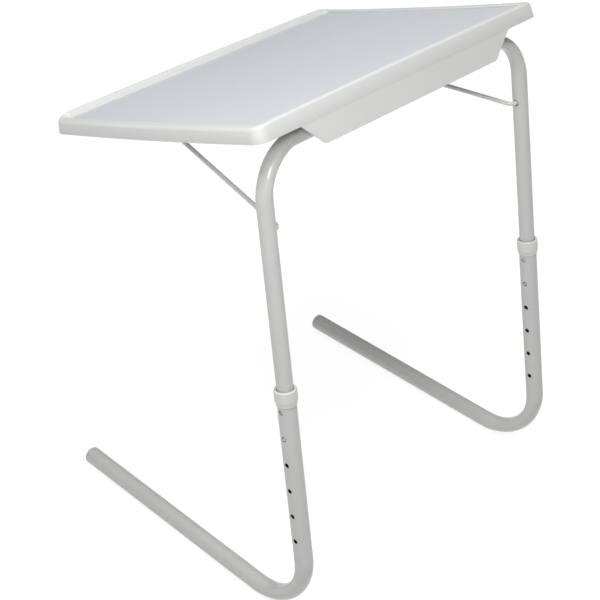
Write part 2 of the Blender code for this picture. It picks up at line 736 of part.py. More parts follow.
def rack_outline():
    """Notch rack as (t, h) points: tabs under the bosses and a scalloped lower edge over the wire."""
    top = DECK_BOTTOM - GAP
    tab_top = BOSS_BOTTOM - GAP
    tab_low = tab_top - 2.3
    rear, front = RACK_SCREWS_T
    clear = 5.4
    outline = [(rear - 4.0, tab_low), (rear - 4.0, tab_top), (rear + clear, tab_top), (rear + clear, top)]
    outline += [(front - clear, top), (front - clear, tab_top), (front + 4.0, tab_top), (front + 4.0, tab_low)]
    outline += [(front - 5.5, tab_low), beside_wire(-9.0, 4.6), beside_wire(-8.0, 3.6)]
    half_tilt = math.degrees(TILT) / 2
    for raised in (0.0, half_tilt):
        outline += [beside_wire(raised, 3.4, turn, 1.4) for turn in (51, 34, 17, 0, -17, -34, -51)]
        outline.append(beside_wire(raised + half_tilt / 2, 3.6))
    seat = wire_in_tray(2 * half_tilt)
    outline += arc(seat.x, seat.y + 0.3, 3.4, 70, 180, 7)
    outline += [(seat.x - 3.4, seat.y - 4.0), (seat.x - 6.5, seat.y - 5.5), (rear + 9.0, tab_low)]
    return outline


def build_notch_rack(name, side, material):
    """Rack that the crossbar of the wire rests in, with a tab for a screw at each end."""
    outline = [(-t, h) for t, h in rack_outline()]
    verts, faces = prism(outline, -RACK_WEB / 2, RACK_WEB / 2, 'x')
    place = tray_matrix(side * RACK_X)
    rack = make_object(name, verts, faces, place, material, False)
    tab_top = BOSS_BOTTOM - GAP
    for end, t in (("rear", RACK_SCREWS_T[0]), ("front", RACK_SCREWS_T[1])):
        verts, faces = lathe_solid([(RACK_TAB_WIDTH / 2, tab_top - 2.3), (RACK_TAB_WIDTH / 2, tab_top)], 28)
        spot = place @ Matrix.Translation((0, -t * MM, 0))
        combine(rack, cutter(f"{name}_tab_{end}", verts, faces, spot), 'UNION')
        radius = SCREW_SHANK / 2 + GAP
        verts, faces = lathe_solid([(radius, tab_top - 5), (radius, tab_top + 3)], 16)
        combine(rack, cutter(f"{name}_drill_{end}", verts, faces, spot), 'DIFFERENCE')
    return rack


def build_screw(name, x, t, seat, material):
    """Pan-head screw driven up from below, its head just under the given seat height."""
    shank = SCREW_SHANK / 2
    head = SCREW_HEAD / 2
    profile = [(head - 1.1, -SCREW_HEAD_HEIGHT), (head - 0.35, -SCREW_HEAD_HEIGHT + 0.35)]
    profile += [(head, -SCREW_HEAD_HEIGHT + 1.0), (head, 0.0), (shank, 0.0)]
    profile += [(shank, SCREW_LENGTH - 1.4), (0.5, SCREW_LENGTH)]
    verts, faces = lathe_solid(profile, 14)
    place = tray_matrix(x, t, seat - GAP)
    screw = make_object(name, verts, faces, place, material)
    long_half = 1.7
    short_half = 0.45
    cross = [(long_half, short_half), (short_half, short_half), (short_half, long_half)]
    cross += [(-short_half, long_half), (-short_half, short_half), (-long_half, short_half)]
    cross += [(-a, -b) for a, b in cross]
    verts, faces = prism(cross, -SCREW_HEAD_HEIGHT - 1.0, -SCREW_HEAD_HEIGHT + 1.1, 'z')
    combine(screw, cutter(f"{name}_drive", verts, faces, place), 'DIFFERENCE')
    return screw


# ---------------------------------------------------------------- assembly

def build():
    """Make every sub-part in its resting place."""
    for old in list(bpy.data.objects):
        bpy.data.objects.remove(old, do_unlink=True)
    paint = (0.72, 0.73, 0.70)
    build_upper_frame("upper_frame", make_material("frame_paint", paint, 0.28))
    build_support_wire("support_wire", make_material("wire_paint", (0.70, 0.71, 0.69), 0.30))
    build_table_top("table_top", make_material("tray_plastic", (0.80, 0.81, 0.80), 0.35))
    build_surface_sheet("surface_sheet", make_material("sheet_plastic", (0.62, 0.65, 0.69), 0.45))
    for side, word in ((1, "right"), (-1, "left")):
        build_leg_tube(f"leg_tube_{word}", side, make_material(f"leg_paint_{word}", paint, 0.28))
        build_foot_cap(f"foot_cap_{word}", side, make_material(f"cap_plastic_{word}", (0.74, 0.75, 0.72), 0.4))
        build_collar(f"leg_collar_{word}", side, make_material(f"collar_plastic_{word}", (0.78, 0.78, 0.75), 0.35))
        steel = make_material(f"button_steel_{word}", (0.60, 0.60, 0.60), 0.25, 1.0)
        build_button(f"snap_button_{word}", side, steel)
        spring = make_material(f"spring_steel_{word}", (0.55, 0.55, 0.56), 0.3, 1.0)
        build_button_spring(f"button_spring_{word}", side, spring)
        clip = make_material(f"clip_plastic_{word}", (0.78, 0.79, 0.78), 0.4)
        build_pivot_clip(f"pivot_clip_{word}", side, clip)
        rack = make_material(f"rack_plastic_{word}", (0.78, 0.79, 0.78), 0.4)
        build_notch_rack(f"notch_rack_{word}", side, rack)
        for end, t in (("front", CLIP_SCREW_T), ("back", -CLIP_SCREW_T)):
            zinc = make_material(f"clip_screw_zinc_{word}_{end}", (0.62, 0.62, 0.60), 0.3, 1.0)
            build_screw(f"clip_screw_{word}_{end}", side * SADDLE_X, t, -1.9, zinc)
        for end, t in (("back", RACK_SCREWS_T[0]), ("front", RACK_SCREWS_T[1])):
            zinc = make_material(f"rack_screw_zinc_{word}_{end}", (0.62, 0.62, 0.60), 0.3, 1.0)
            build_screw(f"rack_screw_{word}_{end}", side * RACK_X, t, BOSS_BOTTOM - GAP - 2.3, zinc)


build()
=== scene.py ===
import bpy
import bmesh
import math
from mathutils import Matrix, Vector


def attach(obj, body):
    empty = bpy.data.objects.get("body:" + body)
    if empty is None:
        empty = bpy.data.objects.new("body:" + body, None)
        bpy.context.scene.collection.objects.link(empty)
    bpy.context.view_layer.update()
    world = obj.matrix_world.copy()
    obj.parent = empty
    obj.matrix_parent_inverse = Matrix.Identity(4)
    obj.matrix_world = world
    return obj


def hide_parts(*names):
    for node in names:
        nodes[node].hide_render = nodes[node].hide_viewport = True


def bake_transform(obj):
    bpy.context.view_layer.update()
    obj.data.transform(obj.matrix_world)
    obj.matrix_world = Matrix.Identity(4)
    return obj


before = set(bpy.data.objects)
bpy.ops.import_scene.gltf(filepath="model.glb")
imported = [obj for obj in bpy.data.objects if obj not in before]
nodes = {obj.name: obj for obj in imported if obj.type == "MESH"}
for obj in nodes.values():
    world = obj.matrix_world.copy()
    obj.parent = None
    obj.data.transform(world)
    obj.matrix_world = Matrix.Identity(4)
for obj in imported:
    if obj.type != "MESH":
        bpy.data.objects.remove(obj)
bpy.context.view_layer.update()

MM = 0.001
scene = bpy.context.scene

# Telescopic legs and the upper frame, in millimetres. Only for the look of their edges, the holes
# are 0.3 mm wider and the collar's mouth is 0.4 mm narrower than in the CAD.
FOOT_Y = 252.321
FOOT_HALF_SPACING = 255.86
LEG_OD = 25.0
LEG_WALL = 1.2
LEG_LEAN = 0.22017
LEG_SPLAY = 0.01417
FOOT_TOE_IN = 0.0187
LOWER_BEND_RADIUS = 80.6
LOWER_BEND_FLATTENING = 0.12
FOOT_LENGTH = 455.5
FOOT_CAP_LENGTH = 8.0
LEG_TOP = 352.5
HOLE_PITCH = 38.29
LOWEST_HOLE = 135.3
HOLE_COUNT = 6
HOLE_DIAMETER = 6.9
HOLE_TURN = math.radians(3.5)
BUTTON_LEVEL = LOWEST_HOLE + 4 * HOLE_PITCH
BUTTON_FLANGE = 8.1
BUTTON_RADIUS = 2.7
BUTTON_TIP = LEG_OD / 2 - 0.1
FRAME_OD = 21.45
FRAME_WALL = 1.2
BAR_LEVEL = 665.2
UPPER_BEND_RADIUS = 64.0
UPPER_BEND_FLATTENING = 0.2
FRAME_END_LEVEL = 263.0
COLLAR_OD = 29.5
COLLAR_BOTTOM = 334.0
COLLAR_TOP = 356.0
COLLAR_MOUTH = 22.1
WIRE_DIAMETER = 6.0
WIRE_LEVEL = 565.0
WIRE_REACH = 269.5
WIRE_DROP = math.radians(0.49)
WIRE_ELBOW_RADIUS = 10.0
WIRE_HALF_CROSSBAR = 161.5
WIRE_HOLE_DIAMETER = 8.0

# Tray, in its own frame: x across, t forward from the bar axis, h square to the surface.
TILT = math.radians(21.39)
TRAY_HALF_WIDTH = 264.5
TRAY_FRONT = 363.6
TRAY_BACK = -26.1
TRAY_CORNER = 16.7
TRAY_WALL_LEAN = 0.11
TRAY_BOTTOM = 14.6
TRAY_WALL = 2.5
FRONT_LIP_TOP = 39.8
BACK_LIP_TOP = 37.5
LIP_ROUNDING = 4.0
LIP_CREST = 2.5
LIP_CROWN = 1.2
LIP_FALL_START = 237.0
LIP_FALL_END = 265.0
SIDE_TOP = 32.7
SIDE_ROUNDING = 5.5
SIDE_TOP_WAVE = (-0.35, 1.5, 190.0, 175.0)
SIDE_BOTTOM_WAVE = (-1.1, 2.3, 140.0, 200.0)
DECK_TOP = 29.2
DECK_BOTTOM = 26.7
PANEL_TOP = 30.5
PANEL_HALF_WIDTH = 249.2
PANEL_FRONT = 351.2
PANEL_BACK = -13.8
PANEL_CORNER = 5.5
RIB_HALF_THICKNESS = 0.9
RIB_HEIGHT = 5.5
ROOT_DEPTH = 0.8
APRON_OUTER = -25.95
APRON_THICKNESS = 3.15
APRON_BOTTOM = -17.0
SADDLE_X = 120.0
SADDLE_WIDTH = 16.0
SADDLE_HALF_DEPTH = 20.8
BEARING_RADIUS = FRAME_OD / 2 + 0.3
RACK_X = 100.0
RACK_SCREWS_T = (186.0, 304.0)
BOSS_BOTTOM = 17.0
SCREW_SHANK = 2.8

RING = 72
CORNER_STEPS = 24
SHARP_ANGLE = 32.0


# ---------------------------------------------------------------- places

def leg_up(side):
    """Direction of a leg and its upright, from the floor up; side is 1 for right, -1 for left."""
    rise = math.sqrt(1.0 - LEG_LEAN ** 2 - LEG_SPLAY ** 2)
    return Vector((-side * LEG_SPLAY, -LEG_LEAN, rise))


def foot_direction(side):
    """Direction of a foot on the floor, towards the user."""
    return Vector((-side * FOOT_TOE_IN, -math.sqrt(1.0 - FOOT_TOE_IN ** 2), 0.0))


def leg_corner(side):
    """Point where the axes of a leg and its foot meet."""
    return Vector((side * FOOT_HALF_SPACING, FOOT_Y, LEG_OD / 2))


def leg_matrix(side, level=0.0):
    """Place of a leg, with z along it, x across and y to the back, a level above its corner."""
    up = leg_up(side)
    foot = foot_direction(side)
    back = -(foot - foot.dot(up) * up).normalized()
    across = back.cross(up)
    rotation = Matrix((across, back, up)).transposed().to_4x4()
    return Matrix.Translation((leg_corner(side) + level * up) * MM) @ rotation


def local_foot():
    """Direction of the foot in the frame of its leg."""
    along = foot_direction(1).dot(leg_up(1))
    return Vector((0.0, -math.sqrt(1 - along ** 2), along))


def bar_centre():
    """Middle of the cross bar that the tray turns on."""
    corner = leg_corner(1) + BAR_LEVEL * leg_up(1)
    return Vector((0.0, corner.y, corner.z))


def wire_centre():
    """Middle between the two pivots of the support wire."""
    pivot = leg_corner(1) + WIRE_LEVEL * leg_up(1)
    return Vector((0.0, pivot.y, pivot.z))


def tray_matrix(x=0.0, t=0.0, h=0.0):
    """Place in the tilted frame of the tray."""
    place = Matrix.Translation(bar_centre() * MM) @ Matrix.Rotation(TILT, 4, 'X')
    return place @ Matrix.Translation(Vector((x, -t, h)) * MM)


def button_matrix(side):
    """Place of a snap button, with z pointing out of the leg."""
    aim = Matrix.Rotation(HOLE_TURN, 4, 'Z') @ Matrix.Rotation(math.pi / 2, 4, 'Y')
    return leg_matrix(side, BUTTON_LEVEL) @ aim


# ---------------------------------------------------------------- mesh helpers

def make_object(name, verts, faces, matrix, sharp=SHARP_ANGLE):
    """Makes a mesh object from points in millimetres; edges sharper than the angle stay sharp."""
    mesh = bpy.data.meshes.new(name)
    bm = bmesh.new()
    points = [bm.verts.new(Vector(v) * MM) for v in verts]
    for face in faces:
        bm.faces.new([points[i] for i in face])
    bmesh.ops.transform(bm, matrix=matrix, verts=bm.verts)
    bmesh.ops.recalc_face_normals(bm, faces=bm.faces)
    for face in bm.faces:
        face.smooth = True
    bm.to_mesh(mesh)
    bm.free()
    mesh.set_sharp_from_angle(angle=math.radians(sharp))
    part = bpy.data.objects.new(name, mesh)
    scene.collection.objects.link(part)
    return part


def apply_modifiers(part):
    """Turns the modifiers of a piece into its mesh."""
    bpy.context.view_layer.update()
    graph = bpy.context.evaluated_depsgraph_get()
    mesh = bpy.data.meshes.new_from_object(part.evaluated_get(graph))
    part.modifiers.clear()
    part.data = mesh
    return part


def cut(part, bodies):
    """Cuts the bodies out of a piece and removes them."""
    for body in bodies:
        modifier = part.modifiers.new("cut", 'BOOLEAN')
        modifier.operation = 'DIFFERENCE'
        modifier.solver = 'EXACT'
        modifier.object = body
    apply_modifiers(part)
    for body in bodies:
        bpy.data.objects.remove(body, do_unlink=True)
    for face in part.data.polygons:
        face.use_smooth = True
    part.data.set_sharp_from_angle(angle=math.radians(SHARP_ANGLE))
    return part


def round_edges(part, width, segments=3, angle=35.0):
    """Rounds the edges of a piece that are sharper than the angle."""
    modifier = part.modifiers.new("edges", 'BEVEL')
    modifier.width = width * MM
    modifier.segments = segments
    modifier.limit_method = 'ANGLE'
    modifier.angle_limit = math.radians(angle)
    modifier.harden_normals = False
    modifier.use_clamp_overlap = True
    return part


def ring_faces(rows, count, closed_rows=False):
    """Faces between rows of points, each row a closed loop."""
    faces = []
    last = rows if closed_rows else rows - 1
    for row in range(last):
        low = row * count
        high = ((row + 1) % rows) * count
        for i in range(count):
            j = (i + 1) % count
            faces.append((low + i, low + j, high + j, high + i))
    return faces


def capped_rings(rows, count):
    """Faces between rows of points, with a face over the first row and the last."""
    faces = ring_faces(rows, count)
    faces.append(tuple(range(count)))
    faces.append(tuple(range((rows - 1) * count, rows * count)))
    return faces


def lathe(profile, segments=RING):
    """Turns a profile of (radius, height) points about z, open at both ends."""
    verts = []
    for radius, height in profile:
        for k in range(segments):
            angle = 2 * math.pi * k / segments
            verts.append((radius * math.cos(angle), radius * math.sin(angle), height))
    return verts, ring_faces(len(profile), segments)


def lathe_solid(profile, segments=RING):
    """Turned body, closed at both ends."""
    verts, _ = lathe(profile, segments)
    return verts, capped_rings(len(profile), segments)


def lathe_ring(profile, segments=RING):
    """Turned body with a bore: the profile closes on itself."""
    verts, _ = lathe(profile, segments)
    return verts, ring_faces(len(profile), segments, True)


def prism(outline, low, high, axis='x'):
    """Extrudes an outline along an axis, from low to high."""
    def place(a, b, c):
        """Point of the outline at a distance along the axis."""
        return {'x': (c, a, b), 'y': (a, c, b), 'z': (a, b, c)}[axis]
    verts = [place(a, b, low) for a, b in outline] + [place(a, b, high) for a, b in outline]
    return verts, capped_rings(2, len(outline))


def arc(centre_a, centre_b, radius, start, end, steps):
    """Points on an arc, angles in degrees, both ends included."""
    points = []
    for k in range(steps + 1):
        angle = math.radians(start + (end - start) * k / steps)
        points.append((centre_a + radius * math.cos(angle), centre_b + radius * math.sin(angle)))
    return points


def smooth_step(value):
    """Eases from 0 to 1 with level ends."""
    value = min(max(value, 0.0), 1.0)
    return value * value * (3 - 2 * value)


def straight_rings(start, end, direction, spacing=12.0):
    """Rings along a straight stretch, both ends included."""
    count = max(2, int((end - start).length / spacing) + 1)
    return [(start.lerp(end, k / (count - 1)), direction, 0.0) for k in range(count)]


def bend_rings(corner, arrive, leave, radius, flattening, steps):
    """Rings round a bend, flattened towards its middle as bent tube is."""
    turn = arrive.angle(leave)
    tangent = radius * math.tan(turn / 2)
    start = corner - tangent * arrive
    inward = (leave - leave.dot(arrive) * arrive).normalized()
    rings = []
    for k in range(steps + 1):
        angle = turn * k / steps
        centre = start + radius * (math.sin(angle) * arrive + (1 - math.cos(angle)) * inward)
        direction = math.cos(angle) * arrive + math.sin(angle) * inward
        ease = smooth_step(4 * min(k, steps - k) / steps)
        rings.append((centre, direction, flattening * ease))
    return rings


def tube(rings, outer, wall, normals, segments=RING, lip=0.35):
    """Hollow tube through rings, its cut ends slightly rounded."""
    last = len(rings) - 1
    stations = []
    for outside, radius, order in ((True, outer, 1), (False, outer - wall, -1)):
        for k in range(len(rings))[::order]:
            if k not in (0, last):
                stations.append((k, radius, 0.0))
                continue
            edge = (k, radius + (-lip if outside else lip), 0.0)
            inset = (k, radius, lip if k == 0 else -lip)
            stations += [inset, edge] if (k == last) == outside else [edge, inset]
    verts = []
    for k, radius, shift in stations:
        centre, direction, flattening = rings[k]
        normal = normals[k]
        inward = normal.cross(direction).normalized()
        squeeze = 1 - flattening
        widen = 1 + 0.25 * flattening
        for i in range(segments):
            angle = 2 * math.pi * i / segments
            across = widen * radius * math.cos(angle)
            depth = squeeze * radius * math.sin(angle)
            verts.append(centre + shift * direction + across * normal + depth * inward)
    return verts, ring_faces(len(stations), segments, True)


def rod(rings, radius, normals, segments):
    """Solid round rod through rings, closed at both ends."""
    verts = []
    for (centre, direction, _), normal in zip(rings, normals):
        inward = normal.cross(direction).normalized()
        for i in range(segments):
            angle = 2 * math.pi * i / segments
            across = radius * math.cos(angle)
            depth = radius * math.sin(angle)
            verts.append(centre + across * normal + depth * inward)
    return verts, capped_rings(len(rings), segments)


def side_drill(matrix, level, turn, diameter, surface):
    """Cutter for a hole with a slightly rounded edge where it meets the tube's surface."""
    radius = diameter / 2
    profile = [(radius, surface - 4), (radius, surface - 0.55), (radius + 0.12, surface - 0.25)]
    profile += [(radius + 0.5, surface + 0.05), (radius + 0.9, surface + 3)]
    verts, faces = lathe_solid(profile, 32)
    aim = Matrix.Rotation(turn, 4, 'Z') @ Matrix.Rotation(math.pi / 2, 4, 'Y')
    return make_object("drill", verts, faces, matrix @ Matrix.Translation((0, 0, level * MM)) @ aim)


# ---------------------------------------------------------------- materials

class Shading:
    """Small helper that builds a Principled material node by node."""

    def __init__(self, name):
        """Makes the material."""
        self.material = bpy.data.materials.new(name)
        self.material.use_nodes = True
        self.tree = self.material.node_tree
        self.shader = self.tree.nodes["Principled BSDF"]
        self.place = self.node("ShaderNodeTexCoord").outputs["Object"]

    def node(self, kind, **settings):
        """Adds a node and sets its properties."""
        made = self.tree.nodes.new(kind)
        for key, value in settings.items():
            setattr(made, key, value)
        return made

    def link(self, source, target):
        """Joins an output to an input."""
        self.tree.links.new(source, target)

    def noise(self, scale, detail=2.0, roughness=0.5, stretch=None):
        """Noise in object space, stretched along an axis when a stretch is given."""
        made = self.node("ShaderNodeTexNoise")
        made.inputs["Scale"].default_value = scale
        made.inputs["Detail"].default_value = detail
        made.inputs["Roughness"].default_value = roughness
        source = self.place
        if stretch:
            mapping = self.node("ShaderNodeMapping")
            mapping.inputs["Scale"].default_value = stretch
            self.link(self.place, mapping.inputs["Vector"])
            source = mapping.outputs["Vector"]
        self.link(source, made.inputs["Vector"])
        return made.outputs["Fac"]

    def spread(self, value, low, high, new_low, new_high):
        """Maps a value from one range to another."""
        made = self.node("ShaderNodeMapRange")
        limits = {"From Min": low, "From Max": high, "To Min": new_low, "To Max": new_high}
        for key, number in limits.items():
            made.inputs[key].default_value = number
        self.link(value, made.inputs["Value"])
        return made.outputs["Result"]

    def colours(self, value, stops):
        """Colour ramp over a value."""
        made = self.node("ShaderNodeValToRGB")
        ramp = made.color_ramp
        while len(ramp.elements) < len(stops):
            ramp.elements.new(0.5)
        for element, (position, colour) in zip(ramp.elements, stops):
            element.position = position
            element.color = (*colour, 1.0)
        self.link(value, made.inputs["Fac"])
        return made.outputs["Color"]

    def mix(self, share, first, second, blend='MIX'):
        """Mixes two colours; each may be a socket or a fixed value."""
        made = self.node("ShaderNodeMix", data_type='RGBA', blend_type=blend)
        sources = ((share, made.inputs[0]), (first, made.inputs[6]), (second, made.inputs[7]))
        for source, socket in sources:
            if isinstance(source, bpy.types.NodeSocket):
                self.link(source, socket)
            elif isinstance(source, tuple):
                socket.default_value = (*source, 1.0)
            else:
                socket.default_value = source
        return made.outputs[2]

    def math(self, operation, first, second):
        """Math node; each side may be a socket or a number."""
        made = self.node("ShaderNodeMath", operation=operation)
        for source, socket in ((first, made.inputs[0]), (second, made.inputs[1])):
            if isinstance(source, bpy.types.NodeSocket):
                self.link(source, socket)
            else:
                socket.default_value = source
        return made.outputs[0]

    def bump(self, heights):
        """Adds heights as (value, distance in metres) on top of each other."""
        normal = None
        for value, distance in heights:
            made = self.node("ShaderNodeBump")
            made.inputs["Strength"].default_value = 1.0
            made.inputs["Distance"].default_value = distance
            self.link(value, made.inputs["Height"])
            if normal:
                self.link(normal, made.inputs["Normal"])
            normal = made.outputs["Normal"]
        self.link(normal, self.shader.inputs["Normal"])

    def worn_edges(self, radius, low, high):
        """Mask that is 1 on outside edges sharper than the given radius."""
        bevel = self.node("ShaderNodeBevel", samples=6)
        bevel.inputs["Radius"].default_value = radius
        geometry = self.node("ShaderNodeNewGeometry")
        dot = self.node("ShaderNodeVectorMath", operation='DOT_PRODUCT')
        self.link(bevel.outputs["Normal"], dot.inputs[0])
        self.link(geometry.outputs["Normal"], dot.inputs[1])
        return self.spread(dot.outputs["Value"], high, low, 0.0, 1.0)

    def crevices(self, distance):
        """Ambient-occlusion value that falls from 1 towards 0 in corners, gaps and bores; it masks the
        painted shade.
        """
        made = self.node("ShaderNodeAmbientOcclusion", samples=8)
        made.inputs["Distance"].default_value = distance
        return made.outputs["AO"]


def painted_steel(name, light, dark, roughness=0.21):
    """Glossy powder paint: orange peel, slight tone changes, fine rub marks, painted shade in the
    bores.
    """
    s = Shading(name)
    clouds = s.noise(14.0, 2.0, 0.5)
    base = s.colours(clouds, [(0.35, dark), (0.65, light)])
    specks = s.noise(1300.0, 2.0, 0.6)
    base = s.mix(s.spread(specks, 0.70, 0.76, 0.0, 0.06), base, tuple(0.6 * c for c in dark))
    # painted shade: ambient occlusion darkens the paint deep inside the tube bores and holes
    shade = s.spread(s.crevices(0.02), 0.10, 0.38, 0.9, 0.0)
    base = s.mix(shade, base, tuple(0.12 * c for c in dark))
    s.link(base, s.shader.inputs["Base Color"])
    rubs = s.noise(60.0, 4.0, 0.7, (1.0, 1.0, 0.25))
    rough = s.spread(rubs, 0.3, 0.75, roughness - 0.01, roughness + 0.02)
    s.link(rough, s.shader.inputs["Roughness"])
    peel = s.noise(520.0, 1.5, 0.45)
    ripple = s.noise(80.0, 1.0, 0.4)
    s.bump([(peel, 0.00001), (ripple, 0.000004)])
    s.shader.inputs["Specular IOR Level"].default_value = 0.4
    return s.material


def moulded_plastic(name, light, dark, roughness=0.38, grain=0.000012):
    """Injection-moulded plastic: fine spark-eroded grain, slight flow clouding, edges rubbed smooth,
    painted shade in corners and gaps.
    """
    s = Shading(name)
    clouds = s.noise(7.0, 2.0, 0.5)
    base = s.colours(clouds, [(0.32, dark), (0.68, light)])
    rubbed = s.worn_edges(0.0018, 0.86, 0.985)
    base = s.mix(s.math('MULTIPLY', rubbed, 0.35), base, tuple(min(1.0, 1.05 * c) for c in light))
    # painted shade: ambient occlusion darkens the colour in corners, gaps and joints between parts
    painted_crevice_shade = s.spread(s.crevices(0.003), 0.25, 0.75, 0.12, 0.0)
    base = s.mix(painted_crevice_shade, base, tuple(0.45 * c for c in dark))
    s.link(base, s.shader.inputs["Base Color"])
    wear = s.noise(35.0, 5.0, 0.65)
    rough = s.spread(wear, 0.3, 0.72, roughness - 0.05, roughness + 0.08)
    rough = s.math('SUBTRACT', rough, s.math('MULTIPLY', rubbed, 0.08))
    s.link(rough, s.shader.inputs["Roughness"])
    fine = s.noise(2600.0, 2.0, 0.55)
    sink = s.noise(22.0, 1.0, 0.4)
    s.bump([(fine, grain), (sink, 0.00005)])
    s.shader.inputs["Specular IOR Level"].default_value = 0.45
    return s.material


def sheet_plastic(name, light, dark):
    """Grey pebbled writing surface: fine leather-like grain, faint wiping marks."""
    s = Shading(name)
    clouds = s.noise(5.0, 3.0, 0.5)
    base = s.colours(clouds, [(0.3, dark), (0.7, light)])
    cells = s.node("ShaderNodeTexVoronoi", feature='F1')
    cells.inputs["Scale"].default_value = 1100.0
    s.link(s.place, cells.inputs["Vector"])
    pits = s.spread(cells.outputs["Distance"], 0.0, 0.75, 0.0, 1.0)
    base = s.mix(s.spread(pits, 0.2, 1.0, 0.0, 0.08), base, tuple(1.1 * c for c in light))
    s.link(base, s.shader.inputs["Base Color"])
    wipes = s.noise(12.0, 5.0, 0.7, (0.35, 1.0, 1.0))
    s.link(s.spread(wipes, 0.3, 0.7, 0.42, 0.54), s.shader.inputs["Roughness"])
    s.bump([(pits, 0.00004), (s.noise(16.0, 1.0, 0.4), 0.00008)])
    s.shader.inputs["Specular IOR Level"].default_value = 0.4
    return s.material


def bare_steel(name, tone, roughness, brushed=True):
    """Plated or bare steel with fine drawing lines and dull patches."""
    s = Shading(name)
    clouds = s.noise(260.0, 3.0, 0.6)
    low = tuple(0.82 * c for c in tone)
    s.link(s.colours(clouds, [(0.3, low), (0.7, tone)]), s.shader.inputs["Base Color"])
    lines = s.noise(1500.0, 2.0, 0.6, (1.0, 1.0, 0.06) if brushed else None)
    rough = s.spread(lines, 0.3, 0.7, roughness - 0.06, roughness + 0.12)
    s.link(rough, s.shader.inputs["Roughness"])
    s.bump([(lines, 0.000008)])
    s.shader.inputs["Metallic"].default_value = 1.0
    return s.material


paint = painted_steel("tube_paint", (0.414, 0.414, 0.401), (0.406, 0.406, 0.393))
wire_paint = painted_steel("wire_paint", (0.50, 0.50, 0.485), (0.488, 0.488, 0.473), 0.32)
white = moulded_plastic("tray_white", (0.488, 0.495, 0.484), (0.480, 0.487, 0.476))
collar_white = moulded_plastic("collar_white", (0.495, 0.495, 0.475), (0.48, 0.48, 0.46), 0.33)
cap_white = moulded_plastic("cap_white", (0.45, 0.45, 0.436), (0.43, 0.43, 0.416), 0.42)
bracket_white = moulded_plastic("bracket_white", (0.52, 0.53, 0.52), (0.50, 0.51, 0.50), 0.42)
grey_sheet = sheet_plastic("sheet_grey", (0.448, 0.468, 0.485), (0.437, 0.457, 0.474))
button_steel = bare_steel("button_steel", (0.50, 0.49, 0.48), 0.16, False)
spring_steel = bare_steel("spring_steel", (0.52, 0.53, 0.55), 0.30)
zinc = bare_steel("screw_zinc", (0.62, 0.62, 0.60), 0.30, False)


def finish_piece(part, material, body, replaced=()):
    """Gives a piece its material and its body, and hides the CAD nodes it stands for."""
    part.data.materials.clear()
    part.data.materials.append(material)
    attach(part, body)
    if replaced:
        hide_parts(*replaced)
    return part


# ---------------------------------------------------------------- legs

def build_leg(side, word):
    """Lower leg: one J-shaped tube with a row of height holes."""
    down = Vector((0, 0, -1))
    foot = local_foot()
    tangent = LOWER_BEND_RADIUS * math.tan(down.angle(foot) / 2)
    end = (FOOT_LENGTH - FOOT_CAP_LENGTH - 0.3) * foot
    rings = straight_rings(Vector((0, 0, LEG_TOP)), Vector((0, 0, tangent + 4)), down, 9.0)
    rings += bend_rings(Vector((0, 0, 0)), down, foot, LOWER_BEND_RADIUS, LOWER_BEND_FLATTENING, 48)
    rings += straight_rings((tangent + 4) * foot, end, foot, 25.0)
    verts, faces = tube(rings, LEG_OD / 2, LEG_WALL, [Vector((1, 0, 0))] * len(rings))
    leg = make_object(f"leg_{word}", verts, faces, leg_matrix(side))
    drills = []
    for k in range(HOLE_COUNT):
        level = LOWEST_HOLE + k * HOLE_PITCH
        drills.append(side_drill(leg_matrix(side), level, HOLE_TURN, HOLE_DIAMETER, LEG_OD / 2))
    cut(leg, drills)
    return finish_piece(leg, paint, f"leg_{word}", [f"leg_tube_{word}"])


def build_foot_cap(side, word):
    """Rounded plug in the end of a foot."""
    radius = LEG_OD / 2 - 0.2
    plug = LEG_OD / 2 - LEG_WALL - 0.3
    profile = [(plug - 1.4, -18.0), (plug - 0.6, -17.6), (plug, -16.0), (plug, 0.0)]
    profile += [(radius - 0.3, 0.0), (radius, 0.3), (radius, 0.8)]
    dome = FOOT_CAP_LENGTH - 0.8
    for k in range(1, 18):
        angle = math.radians(5 * k)
        profile.append((radius * math.cos(angle), 0.8 + dome * math.sin(angle)))
    profile.append((0.3, 0.8 + dome))
    verts, faces = lathe_solid(profile)
    tip = (FOOT_LENGTH - FOOT_CAP_LENGTH) * local_foot()
    turn = Vector((0, 0, 1)).rotation_difference(local_foot()).to_matrix().to_4x4()
    cap = make_object(f"foot_plug_{word}", verts, faces,
                      leg_matrix(side) @ Matrix.Translation(tip * MM) @ turn)
    return finish_piece(cap, cap_white, f"leg_{word}", [f"foot_cap_{word}"])


def build_collar(side, word):
    """Plastic collar on top of a leg, round the upright."""
    outer = COLLAR_OD / 2
    bore = LEG_OD / 2 + 0.3
    mouth = COLLAR_MOUTH / 2
    height = COLLAR_TOP - COLLAR_BOTTOM
    step = LEG_TOP + 0.3 - COLLAR_BOTTOM
    profile = [(bore, 0.15), (bore + 0.15, 0.0), (bore + 0.4, 0.0), (bore + 0.6, 0.2)]
    profile += [(outer - 0.8, 5.0), (outer - 0.4, 5.8), (outer - 0.1, 6.3), (outer, 7.0)]
    profile += [(outer, height - 2.2)]
    profile += arc(outer - 1.5, height - 1.5, 1.5, 0, 90, 10)
    profile += arc(mouth + 1.2, height - 1.2, 1.2, 90, 180, 8)
    profile += [(mouth, step), (bore, step)]
    verts, faces = lathe_ring(profile)
    collar = make_object(f"collar_{word}", verts, faces, leg_matrix(side, COLLAR_BOTTOM))
    return finish_piece(collar, collar_white, f"collar_{word}", [f"leg_collar_{word}"])


